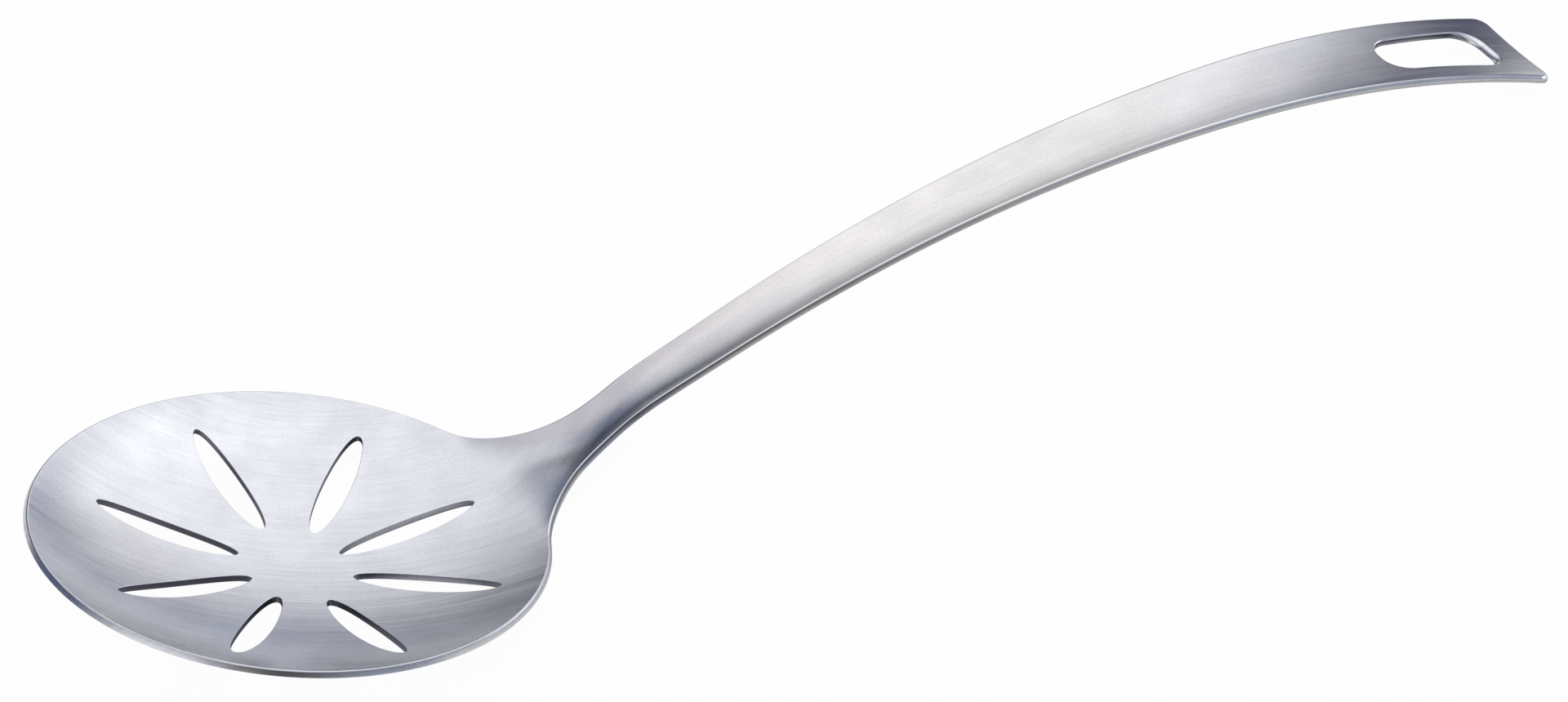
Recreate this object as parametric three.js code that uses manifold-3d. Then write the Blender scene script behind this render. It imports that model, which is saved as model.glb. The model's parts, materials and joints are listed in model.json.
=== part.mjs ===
// Slotted kitchen skimmer in stainless sheet. Millimetres, +Z up, lying at rest on a table at z = 0.
// The handle runs along +X and the plane y = 0 is its mirror plane.
// Both pieces are first set out in the bowl's own level: origin on the middle of the bowl floor.
import * as THREE from 'three';
import { mergeVertices } from 'three/addons/utils/BufferGeometryUtils.js';
import Module from 'manifold-3d';

const wasm = await Module();
wasm.setup();

// Sheet that both pieces are pressed from
const SHEET_THICKNESS = 1.5;

// Bowl: a round dish that turns up more steeply towards its rim
const BOWL_RADIUS = 55;
const BOWL_DEPTH = 10.5;
const DISH_SHARE = 0.75;
const FLOOR_LEAN = 0.052;

// Drain slots: ellipses pointing at a centre a little nearer the handle than the bowl's own
const SLOT_COUNT = 8;
const SLOT_LENGTH = 31.3;
const SLOT_WIDTH = 6.2;
const SLOT_MARGIN_ALONG = 13.3;
const SLOT_MARGIN_ACROSS = 9;
const SLOT_CENTRE_SHIFT = 2.6;

// Neck: round fillets draw the rim in to a narrow straight, where bowl and handle meet
const NECK_WIDTH = 12.4;
const NECK_FILLET = 32;
const NECK_STRAIGHT = 3.9;
const NECK_RISE = 14.8;
const NECK_SLOPE = THREE.MathUtils.degToRad(29.9);
const NECK_BLEND = 32;
const JOINT_GAP = 0.3;

// Handle: an arched, flaring strip, slightly hollow across its width, that turns down more at its end
const HANDLE_REACH = 218.4;
const HANDLE_ARCH_RADIUS = 371;
const END_ARCH_RADIUS = 227;
const END_ARCH_REACH = 75;
const HANDLE_END_WIDTH = 28.6;
const HANDLE_FLARE_POWER = 1.22;
const HANDLE_END_CORNER = 3.5;
const HOLLOW_AT_NECK = 1.3;
const HOLLOW_AT_END = 0.6;

// Hanging hole near the handle's end, which widens towards it as the handle does
const HOLE_LENGTH = 28.6;
const HOLE_NECK_WIDTH = 12;
const HOLE_END_WIDTH = 15.6;
const HOLE_CORNER = 3.5;
const HOLE_FROM_END = 8.7;

// Fineness of the facets
const BOWL_CELL = 5;
const HANDLE_CELL = 5;
const HANDLE_CELLS_ACROSS = 12;
const RIM_STEPS = 96;
const FILLET_STEPS = 16;
const SLOT_STEPS = 40;
const SMALL_CORNER_STEPS = 5;
const FLARE_STEPS = 46;

// Room by which blanks and cutters pass the sheet that they are cut from
const TRIM = 6;
const CUTTER_HEIGHT = 300;

// Fineness of the sums: corners closer than this are one, slopes are read over this step,
// and the resting tip is sought below this limit by halving so many times
const SAME_CORNER = 1e-4;
const SLOPE_STEP = 0.01;
const TIP_LIMIT = THREE.MathUtils.degToRad(45);
const TIP_HALVINGS = 50;

// Brushed stainless steel
const BOWL_COLOUR = 0xc6c8d0;
const BOWL_ROUGHNESS = 0.38;
const HANDLE_COLOUR = 0xcacbd2;
const HANDLE_ROUGHNESS = 0.34;

// Places that follow from the sizes above
const neckHalf = NECK_WIDTH / 2;
const filletX = Math.sqrt((BOWL_RADIUS + NECK_FILLET) ** 2 - (neckHalf + NECK_FILLET) ** 2);
const filletY = neckHalf + NECK_FILLET;
const rimAngle = Math.atan2(filletY, filletX);
const jointX = filletX + NECK_STRAIGHT;
const endX = jointX + HANDLE_REACH;
const archCentreX = jointX + HANDLE_ARCH_RADIUS * Math.sin(NECK_SLOPE);
const archCentreZ = BOWL_DEPTH + NECK_RISE - HANDLE_ARCH_RADIUS * Math.cos(NECK_SLOPE);
const turnX = endX - END_ARCH_REACH;
const turnSlope = Math.asin((archCentreX - turnX) / HANDLE_ARCH_RADIUS);
const radiusChange = HANDLE_ARCH_RADIUS - END_ARCH_RADIUS;
const endCentreX = archCentreX - radiusChange * Math.sin(turnSlope);
const endCentreZ = archCentreZ + radiusChange * Math.cos(turnSlope);

// Height of the bowl's upper face: a dish, its floor leaning down away from the handle
function dishHeight(x, y) {
  const share = (x * x + y * y) / BOWL_RADIUS ** 2;
  const dish = BOWL_DEPTH * (DISH_SHARE * share + (1 - DISH_SHARE) * share * share);
  return dish + FLOOR_LEAN * x * (1 - share);
}

// How far along the handle a place lies, 0 at the joint and 1 at the end
function alongHandle(x) {
  return THREE.MathUtils.clamp((x - jointX) / HANDLE_REACH, 0, 1);
}

function handleWidth(x) {
  return NECK_WIDTH + (HANDLE_END_WIDTH - NECK_WIDTH) * alongHandle(x) ** HANDLE_FLARE_POWER;
}

// Height of the arch along the middle of the handle: two circular arcs that run on smoothly at the turn
function archHeight(x) {
  if (x < turnX) return archCentreZ + Math.sqrt(HANDLE_ARCH_RADIUS ** 2 - (x - archCentreX) ** 2);
  return endCentreZ + Math.sqrt(END_ARCH_RADIUS ** 2 - (x - endCentreX) ** 2);
}

// Height of the handle's upper face: the arch with both long edges standing up a little
function handleHeight(x, y) {
  const hollow = THREE.MathUtils.lerp(HOLLOW_AT_NECK, HOLLOW_AT_END, alongHandle(x));
  return archHeight(x) + hollow * (2 * y / handleWidth(x)) ** 2;
}

// Height of the whole upper face: the dish eases into the handle through the neck
function topHeight(x, y) {
  const ease = THREE.MathUtils.smoothstep(x, jointX - NECK_BLEND, jointX);
  if (ease === 0) return dishHeight(x, y);
  return THREE.MathUtils.lerp(dishHeight(x, y), handleHeight(x, y), ease);
}

function topNormal(x, y) {
  const slopeX = (topHeight(x + SLOPE_STEP, y) - topHeight(x - SLOPE_STEP, y)) / (2 * SLOPE_STEP);
  const slopeY = (topHeight(x, y + SLOPE_STEP) - topHeight(x, y - SLOPE_STEP)) / (2 * SLOPE_STEP);
  return new THREE.Vector3(-slopeX, -slopeY, 1).normalize();
}

// A rectangle of flat sheet pressed to the shape of the upper face
function pressedSheet(fromX, toX, halfWidth, cellsX, cellsY) {
  const sheet = new THREE.BoxGeometry(toX - fromX, 2 * halfWidth, SHEET_THICKNESS, cellsX, cellsY, 1);
  sheet.translate((fromX + toX) / 2, 0, -SHEET_THICKNESS / 2);
  const places = sheet.attributes.position;
  const point = new THREE.Vector3();
  for (let i = 0; i < places.count; i += 1) {
    point.fromBufferAttribute(places, i);
    const depth = point.z;
    const normal = topNormal(point.x, point.y);
    point.z = topHeight(point.x, point.y);
    point.addScaledVector(normal, depth);
    places.setXYZ(i, point.x, point.y, point.z);
  }
  return sheet;
}

// An upright cutter with the given plan
function uprightPrism(plan, curveSegments) {
  const settings = { depth: CUTTER_HEIGHT, bevelEnabled: false, curveSegments };
  const prism = new THREE.ExtrudeGeometry(plan, settings);
  prism.translate(0, 0, -CUTTER_HEIGHT / 2);
  return prism;
}

function toSolid(geometry) {
  const bare = geometry.clone();
  bare.deleteAttribute('normal');
  bare.deleteAttribute('uv');
  const merged = mergeVertices(bare, SAME_CORNER);
  const vertProperties = new Float32Array(merged.attributes.position.array);
  const triVerts = new Uint32Array(merged.index.array);
  return new wasm.Manifold(new wasm.Mesh({ numProp: 3, vertProperties, triVerts }));
}

function toGeometry(solid) {
  const mesh = solid.getMesh();
  const geometry = new THREE.BufferGeometry();
  geometry.setAttribute('position', new THREE.BufferAttribute(mesh.vertProperties, 3));
  geometry.setIndex(new THREE.BufferAttribute(mesh.triVerts, 1));
  geometry.computeVertexNormals();
  return geometry;
}

// Plan of the bowl: the rim, drawn in by the two neck fillets to the straight that ends at the joint
function bowlPlan() {
  const plan = new THREE.Shape();
  plan.moveTo(jointX, -neckHalf);
  plan.lineTo(jointX, neckHalf);
  plan.absarc(filletX, filletY, NECK_FILLET, -Math.PI / 2, Math.PI + rimAngle, true);
  for (let i = 1; i < RIM_STEPS; i += 1) {
    const angle = THREE.MathUtils.lerp(rimAngle, 2 * Math.PI - rimAngle, i / RIM_STEPS);
    plan.lineTo(BOWL_RADIUS * Math.cos(angle), BOWL_RADIUS * Math.sin(angle));
  }
  plan.absarc(filletX, -filletY, NECK_FILLET, Math.PI - rimAngle, Math.PI / 2, true);
  return plan;
}

// Plan of one slot, at its angle from the handle, with its outer end a set margin inside the rim
function slotPlan(angle) {
  const across = Math.sin(angle) ** 2;
  const margin = THREE.MathUtils.lerp(SLOT_MARGIN_ALONG, SLOT_MARGIN_ACROSS, across);
  const middle = BOWL_RADIUS - margin - SLOT_LENGTH / 2;
  const x = SLOT_CENTRE_SHIFT + middle * Math.cos(angle);
  const y = middle * Math.sin(angle);
  const plan = new THREE.Shape();
  plan.absellipse(x, y, SLOT_LENGTH / 2, SLOT_WIDTH / 2, 0, 2 * Math.PI, false, angle);
  return plan;
}

// Plan of the handle: flaring long edges and a square end with rounded corners
function handlePlan(fromX) {
  const cornerX = endX - HANDLE_END_CORNER;
  const edge = [];
  for (let i = 0; i <= FLARE_STEPS; i += 1) {
    const x = THREE.MathUtils.lerp(fromX, cornerX, i / FLARE_STEPS);
    edge.push(new THREE.Vector2(x, handleWidth(x) / 2));
  }
  const cornerY = handleWidth(cornerX) / 2 - HANDLE_END_CORNER;
  for (let i = 1; i <= SMALL_CORNER_STEPS; i += 1) {
    const turn = Math.PI / 2 * (1 - i / SMALL_CORNER_STEPS);
    const x = cornerX + HANDLE_END_CORNER * Math.cos(turn);
    edge.push(new THREE.Vector2(x, cornerY + HANDLE_END_CORNER * Math.sin(turn)));
  }
  const mirrored = edge.map((point) => new THREE.Vector2(point.x, -point.y));
  return new THREE.Shape([...mirrored, ...edge.reverse()]);
}

// Plan of the hanging hole: a rectangle with rounded corners whose long sides flare
function holePlan() {
  const left = endX - HOLE_FROM_END - HOLE_LENGTH;
  const flare = Math.atan((HOLE_END_WIDTH - HOLE_NECK_WIDTH) / (2 * HOLE_LENGTH));
  const sideTurn = Math.PI / 2 + flare;
  const neckX = left + HOLE_CORNER;
  const neckY = HOLE_NECK_WIDTH / 2 + HOLE_CORNER * (Math.tan(flare) - 1 / Math.cos(flare));
  const cornerSpan = HOLE_LENGTH - 2 * HOLE_CORNER;
  const farX = neckX + cornerSpan;
  const farY = neckY + cornerSpan * Math.tan(flare);
  const plan = new THREE.Shape();
  plan.absarc(farX, -farY, HOLE_CORNER, -sideTurn, 0, false);
  plan.absarc(farX, farY, HOLE_CORNER, 0, sideTurn, false);
  plan.absarc(neckX, neckY, HOLE_CORNER, sideTurn, Math.PI, false);
  plan.absarc(neckX, -neckY, HOLE_CORNER, Math.PI, 2 * Math.PI - sideTurn, false);
  return plan;
}

// Bowl: pressed sheet trimmed to its plan, with the slots punched through
function bowlGeometry() {
  const reach = BOWL_RADIUS + TRIM;
  const cellsX = Math.round((reach + jointX + TRIM) / BOWL_CELL);
  const cellsY = Math.round(2 * reach / BOWL_CELL);
  const sheet = toSolid(pressedSheet(-reach, jointX + TRIM, reach, cellsX, cellsY));
  let bowl = sheet.intersect(toSolid(uprightPrism(bowlPlan(), FILLET_STEPS)));
  for (let i = 0; i < SLOT_COUNT; i += 1) {
    const plan = slotPlan(2 * Math.PI * i / SLOT_COUNT);
    bowl = bowl.subtract(toSolid(uprightPrism(plan, SLOT_STEPS / 2)));
  }
  return toGeometry(bowl);
}

// Handle: pressed strip trimmed to its plan, with the hanging hole punched through
function handleGeometry() {
  const fromX = jointX + JOINT_GAP;
  const halfWidth = HANDLE_END_WIDTH / 2 + TRIM;
  const cellsX = Math.round((HANDLE_REACH + 2 * TRIM) / HANDLE_CELL);
  const blank = pressedSheet(fromX - TRIM, endX + TRIM, halfWidth, cellsX, HANDLE_CELLS_ACROSS);
  const strip = toSolid(blank).intersect(toSolid(uprightPrism(handlePlan(fromX))));
  return toGeometry(strip.subtract(toSolid(uprightPrism(holePlan(), SMALL_CORNER_STEPS))));
}

// Lowest point of a piece once the tool is tipped about Y, handle side down
function lowestPoint(geometry, tip) {
  const places = geometry.attributes.position;
  let lowest = Infinity;
  for (let i = 0; i < places.count; i += 1) {
    const z = places.getZ(i) * Math.cos(tip) - places.getX(i) * Math.sin(tip);
    lowest = Math.min(lowest, z);
  }
  return lowest;
}

// Tip at which the bowl's underside and the end of the handle both touch the table
function restingTip(bowl, handle) {
  let low = 0;
  let high = TIP_LIMIT;
  for (let i = 0; i < TIP_HALVINGS; i += 1) {
    const tip = (low + high) / 2;
    if (lowestPoint(handle, tip) > lowestPoint(bowl, tip)) low = tip;
    else high = tip;
  }
  return (low + high) / 2;
}

function piece(name, geometry, colour, roughness) {
  const material = new THREE.MeshStandardMaterial({ color: colour, roughness, metalness: 1 });
  const mesh = new THREE.Mesh(geometry, material);
  mesh.name = name;
  return mesh;
}

const bowl = piece('bowl', bowlGeometry(), BOWL_COLOUR, BOWL_ROUGHNESS);
const handle = piece('handle', handleGeometry(), HANDLE_COLOUR, HANDLE_ROUGHNESS);

// The tool as it lies: tipped on to the table and centred over the origin
const skimmer = new THREE.Group();
skimmer.add(bowl, handle);
skimmer.rotation.y = restingTip(bowl.geometry, handle.geometry);
skimmer.updateMatrixWorld(true);
const extent = new THREE.Box3().setFromObject(skimmer, true);
skimmer.position.x = -(extent.min.x + extent.max.x) / 2;
skimmer.position.z = -extent.min.z;

const part = new THREE.Group();
part.add(skimmer);
export default part;
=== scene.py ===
"""A slotted kitchen skimmer of brushed stainless steel, lying on a white table."""
import json
import math

import bpy
import numpy as np
from mathutils import Matrix, Vector


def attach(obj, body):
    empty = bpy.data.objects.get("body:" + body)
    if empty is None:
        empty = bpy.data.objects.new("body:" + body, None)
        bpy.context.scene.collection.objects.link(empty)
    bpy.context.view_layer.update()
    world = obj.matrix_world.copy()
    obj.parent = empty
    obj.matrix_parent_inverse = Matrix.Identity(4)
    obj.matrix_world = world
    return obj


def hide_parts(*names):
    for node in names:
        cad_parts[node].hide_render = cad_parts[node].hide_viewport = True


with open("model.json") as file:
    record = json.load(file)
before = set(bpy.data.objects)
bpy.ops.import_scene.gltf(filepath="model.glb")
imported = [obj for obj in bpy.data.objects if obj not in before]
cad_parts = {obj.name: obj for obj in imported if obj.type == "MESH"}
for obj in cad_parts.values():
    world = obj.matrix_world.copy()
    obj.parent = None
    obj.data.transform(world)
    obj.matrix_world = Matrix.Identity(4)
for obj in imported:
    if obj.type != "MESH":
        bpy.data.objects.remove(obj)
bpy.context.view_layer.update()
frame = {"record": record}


# Viewpoint
# The skimmer is seen from the bowl's side, from above, through a long lens a couple of metres away.
# Lengths are in metres here and angles in degrees; azimuth 0 looks along +Y.
VIEW_TARGET = Vector((-0.0074, 0.0, 0.0057))
VIEW_DISTANCE = 2.078
VIEW_AZIMUTH = -26.56
VIEW_ELEVATION = 37.33
VIEW_ROLL = -6.51
LENS_MM = 225.0
SENSOR_MM = 36.0
FARTHEST_SEEN = 20.0


def away(azimuth, elevation):
    """Unit vector from the object towards a viewer at that azimuth and elevation, in degrees."""
    a, e = math.radians(azimuth), math.radians(elevation)
    return Vector((math.sin(a) * math.cos(e), -math.cos(a) * math.cos(e), math.sin(e)))


def facing(back, roll=0.0):
    """Turn of a camera or panel that looks along -back, rolled about its own line of sight."""
    right = Vector((0, 0, 1)).cross(back).normalized()
    up = back.cross(right)
    level = Matrix((right, up, back)).transposed()
    return level @ Matrix.Rotation(math.radians(roll), 3, "Z")


lens = bpy.data.cameras.new("viewpoint")
lens.lens = LENS_MM
lens.sensor_width = SENSOR_MM
lens.sensor_fit = "HORIZONTAL"
lens.clip_end = FARTHEST_SEEN
viewpoint = bpy.data.objects.new("viewpoint", lens)
bpy.context.scene.collection.objects.link(viewpoint)
view_back = away(VIEW_AZIMUTH, VIEW_ELEVATION)
viewpoint.location = VIEW_TARGET + view_back * VIEW_DISTANCE
viewpoint.rotation_euler = facing(view_back, VIEW_ROLL).to_euler()
bpy.context.scene.camera = viewpoint


# Bowl and neck
# The bowl is blanked from stainless sheet, punched with slots and pressed to a shallow dish. Its rim
# runs through two round fillets into the neck, which is pressed up into a gutter to meet the handle.
# Lengths are in millimetres in the bowl's own level: origin on the bowl floor, +X towards the handle.
MM = 0.001
SHEET = 1.5
BOWL_RADIUS = 55.0
BOWL_DEPTH = 10.5
DISH_SHARE = 0.75
FLOOR_LEAN = 0.052
NECK_WIDTH = 12.4
NECK_FILLET = 32.0
NECK_STRAIGHT = 3.9
NECK_RISE = 14.8
NECK_SLOPE = math.radians(29.9)
NECK_BLEND = 32.0
HANDLE_REACH = 218.4
ARCH_RADIUS = 371.0
END_ARCH_RADIUS = 227.0
END_ARCH_REACH = 75.0
HANDLE_END_WIDTH = 28.6
FLARE_POWER = 1.22
HOLLOW_AT_NECK = 1.3
HOLLOW_AT_END = 0.6
DIMPLE_DEPTH = 1.2
DIMPLE_X = 66.6
DIMPLE_REACH = 17.0
RIPPLE_HEIGHT = 1.0
RIPPLE_X = 77.0
RIPPLE_REACH = 14.0
BUMP_HEIGHT = 1.1
BUMP_X = 60.5
BUMP_Y = -4.0
BUMP_REACH = 6.6

neck_half = NECK_WIDTH / 2
fillet_x = math.sqrt((BOWL_RADIUS + NECK_FILLET) ** 2 - (neck_half + NECK_FILLET) ** 2)
fillet_y = neck_half + NECK_FILLET
joint_x = fillet_x + NECK_STRAIGHT
end_x = joint_x + HANDLE_REACH
arch_x = joint_x + ARCH_RADIUS * math.sin(NECK_SLOPE)
arch_z = BOWL_DEPTH + NECK_RISE - ARCH_RADIUS * math.cos(NECK_SLOPE)
turn_x = end_x - END_ARCH_REACH
turn_slope = math.asin((arch_x - turn_x) / ARCH_RADIUS)
end_arch_x = arch_x - (ARCH_RADIUS - END_ARCH_RADIUS) * math.sin(turn_slope)
end_arch_z = arch_z + (ARCH_RADIUS - END_ARCH_RADIUS) * math.cos(turn_slope)


def ease(share):
    """Smooth step from 0 to 1: 3s^2 - 2s^3, flat at both ends."""
    share = np.clip(share, 0, 1)
    return share * share * (3 - 2 * share)


def along_handle(x):
    """0 at the joint and 1 at the handle's end."""
    return np.clip((x - joint_x) / HANDLE_REACH, 0, 1)


def handle_width(x):
    """Neck width plus the flare, which grows as a power of the way along."""
    return NECK_WIDTH + (HANDLE_END_WIDTH - NECK_WIDTH) * along_handle(x) ** FLARE_POWER


def top_height(x, y):
    """Upper face of the pressed sheet. The dish is a sum of r^2 and r^4 with a leaning floor. The handle
    is two arcs that run on smoothly, with a parabola across for the hollow, and a smooth step joins it to
    the dish. The press left three bell curves at the neck: a dimple down its middle, a ripple across it
    and a round bump."""
    share = (x * x + y * y) / BOWL_RADIUS ** 2
    dish = BOWL_DEPTH * (DISH_SHARE * share + (1 - DISH_SHARE) * share ** 2)
    dish = dish + FLOOR_LEAN * x * (1 - share)
    main_arc = arch_z + np.sqrt(np.maximum(ARCH_RADIUS ** 2 - (x - arch_x) ** 2, 0))
    end_arc = end_arch_z + np.sqrt(np.maximum(END_ARCH_RADIUS ** 2 - (x - end_arch_x) ** 2, 0))
    hollow = HOLLOW_AT_NECK + (HOLLOW_AT_END - HOLLOW_AT_NECK) * along_handle(x)
    across = (2 * y / handle_width(x)) ** 2
    dimple = DIMPLE_DEPTH * np.exp(-((x - DIMPLE_X) / DIMPLE_REACH) ** 2)
    ripple = RIPPLE_HEIGHT * np.exp(-((x - RIPPLE_X) / RIPPLE_REACH) ** 2)
    strip = np.where(x < turn_x, main_arc, end_arc) + hollow * across - dimple * (1 - across) + ripple
    bump = BUMP_HEIGHT * np.exp(-((x - BUMP_X) ** 2 + (y - BUMP_Y) ** 2) / BUMP_REACH ** 2)
    return dish + (strip - dish) * ease((x - joint_x) / NECK_BLEND + 1) + bump


def slopes(x, y, step=0.01):
    """Slopes of the upper face along X and Y, as central differences."""
    along = (top_height(x + step, y) - top_height(x - step, y)) / (2 * step)
    across = (top_height(x, y + step) - top_height(x, y - step)) / (2 * step)
    return along, across


def unit(vectors):
    """Vectors divided by their lengths."""
    return vectors / np.linalg.norm(vectors, axis=-1, keepdims=True)


def face_grid(plan, depth):
    """Plan points pressed on to the upper face, or on to the lower one at the sheet's depth along the
    normal: their places, the way they face, and how much their colour is darkened, for a duller cut finish
    and as painted shade, which is not at all."""
    x, y = plan[..., 0], plan[..., 1]
    along, across = slopes(x, y)
    normal = unit(np.stack([-along, -across, np.ones_like(x)], -1))
    places = np.stack([x, y, top_height(x, y)], -1) - depth * normal
    return places, normal if depth == 0 else -normal, np.zeros_like(x)


# Cut edges: square to the sheet, with eased corners and a wall whose colour is darkened, partly for the
# duller finish of a punched wall and partly as painted shade, darkest at the top of the wall just under the
# upper round. On the bowl the foot of the wall stands on the outline, and further along the upper side does
EDGE_STEPS = 6
DULL_AND_SHADE_ROWS = 2
LEAN_FADE_X = 57.0
LEAN_FADE_REACH = 32.0


def edge_grid(rim, outward, upper_round, lower_round, shear_and_shade=1.0, foot=0.0):
    """The sheet's cut edge along a rim: a quarter circle down from the upper face, the wall, and a
    quarter circle into the lower face. The surface turns from the sheet's normal to the outward way and
    on to the lower side. The last item says how much each place's colour is darkened, for the duller punched
    finish and as painted shade: most of all just under the upper round, less at the wall's foot."""
    quarter = np.linspace(0, math.pi / 2, EDGE_STEPS + 1)
    turn = np.concatenate([quarter, quarter + math.pi / 2])
    upper, lower = upper_round + 0 * rim[:, 0], lower_round + 0 * rim[:, 0]
    inset = np.concatenate([np.outer(1 - np.sin(quarter), upper), np.outer(1 - np.cos(quarter), lower)])
    depth = np.concatenate([np.outer(1 - np.cos(quarter), upper),
                            SHEET - np.outer(1 - np.sin(quarter), lower)])
    plan = rim[None] - outward[None] * inset[..., None]
    x, y = plan[..., 0], plan[..., 1]
    along, across = slopes(x, y)
    normal = unit(np.stack([-along, -across, np.ones_like(x)], -1))
    rim_x, rim_y = -outward[None, :, 1], outward[None, :, 0]
    rim_way = np.stack([rim_x + 0 * x, rim_y + 0 * x, along * rim_x + across * rim_y], -1)
    out = unit(np.cross(rim_way, normal))
    places = np.stack([x, y, top_height(x, y)], -1) - depth[..., None] * normal
    facings = normal * np.cos(turn)[:, None, None] + out * np.sin(turn)[:, None, None]
    rows_off = np.abs(np.arange(len(turn)) - EDGE_STEPS)
    # Painted shade along with the duller punched finish: the colour is darkest at the top of the wall, just
    # under the upper round
    dull_and_shade = np.outer(np.maximum(1 - rows_off / DULL_AND_SHADE_ROWS, 0), shear_and_shade + 0 * rim[:, 0])
    dull_and_shade[EDGE_STEPS + 1:] = 0
    dull_and_shade[EDGE_STEPS + 1] = foot
    return places, facings, dull_and_shade


def drawn_in(rim, outward):
    """A rim moved into the sheet by as far as its square-cut edge leans out over it, so that the foot of
    the edge stands on the outline. A smooth step ends this beyond the bowl."""
    along, across = slopes(rim[:, 0], rim[:, 1])
    climb = along * outward[:, 0] + across * outward[:, 1]
    lean = np.maximum(SHEET * climb / np.sqrt(1 + climb ** 2), 0)
    on_bowl = 1 - ease((rim[:, 0] - LEAN_FADE_X) / LEAN_FADE_REACH)
    return rim - outward * (lean * on_bowl)[:, None]


def band(inner, outer, rows):
    """Plan points between two loops of as many points: each row a fixed share of the way across."""
    share = np.linspace(0, 1, rows + 1)[:, None, None]
    return inner + (outer - inner) * share


def closed(loop):
    """A loop with its first point again at its end."""
    return np.concatenate([loop, loop[:1]])


# Place of the bowl's level on the table: the hook seat in the hanging hole is known in both
HOLE_FROM_END = 8.7

seat = frame["record"]["mounts"][0]
tip = math.atan2(seat["axis"][2], -seat["axis"][0])
seat_x = end_x - HOLE_FROM_END
seat_z = float(top_height(np.array(seat_x), np.array(0.0)))
seat_slope = float(slopes(np.array(seat_x), np.array(0.0))[0])
seat_middle = Vector((seat_x, 0, seat_z - SHEET / 2 * math.sqrt(1 + seat_slope ** 2)))
tip_turn = Matrix.Rotation(tip, 3, "Y")
table_shift = Vector(seat["pos_m"]) - tip_turn @ seat_middle * MM

# Brushing: long shallow arcs over the bowl, slanted to the handle, which swing round into lengthwise strokes
BRUSH_SLANT = math.radians(-30)
BRUSH_ARC_RADIUS = 170.0
BRUSH_TURN_X = 66.0
BRUSH_TURN_REACH = 40.0


def brush_map(places):
    """Strokes run along u at a fixed v. Over the bowl v is how far inside the arc through its middle a
    place lies and u the length along the arc, on the handle they are y and x, and a smooth step at the
    neck joins the two."""
    x, y = places[:, 0], places[:, 1]
    lengthwise = ease((x - BRUSH_TURN_X) / BRUSH_TURN_REACH + 0.5)
    along = x * math.cos(BRUSH_SLANT) + y * math.sin(BRUSH_SLANT)
    short = BRUSH_ARC_RADIUS - y * math.cos(BRUSH_SLANT) + x * math.sin(BRUSH_SLANT)
    bowl_v = BRUSH_ARC_RADIUS - np.hypot(along, short)
    bowl_u = BRUSH_ARC_RADIUS * np.arctan2(along, short)
    return np.stack([bowl_u + (x - bowl_u) * lengthwise, bowl_v + (y - bowl_v) * lengthwise], -1) * MM


# Strokes and tint: the strokes are full over the bowl, nearly rubbed out where the neck was pressed, and
# weaker on the handle, whose middle is a little warmer
NECK_RUB_X = 40.0
NECK_RUB_REACH = 20.0
HANDLE_BRUSH_X = 95.0
HANDLE_BRUSH_REACH = 30.0
NECK_STROKES = 0.3
HANDLE_STROKES = 0.7
HANDLE_TINT_REACH = 80.0
END_TINT_X = 190.0


def stroke_strength(x):
    """1 over the bowl, falling by a smooth step to the neck's share, and rising again to the handle's."""
    rubbed = ease((x - NECK_RUB_X) / NECK_RUB_REACH)
    brushed = ease((x - HANDLE_BRUSH_X) / HANDLE_BRUSH_REACH)
    return 1 + (NECK_STROKES - 1) * rubbed + (HANDLE_STROKES - NECK_STROKES) * brushed


def handle_tint(x):
    """0 over the bowl, rising by a smooth step to 1 on the handle, and falling again towards its end."""
    return ease((x - NECK_RUB_X) / HANDLE_TINT_REACH) * (1 - ease((x - END_TINT_X) / HANDLE_TINT_REACH))


# Meshing: points that agree to this many decimals of a millimetre are one
MERGE_DECIMALS = 4


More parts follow.
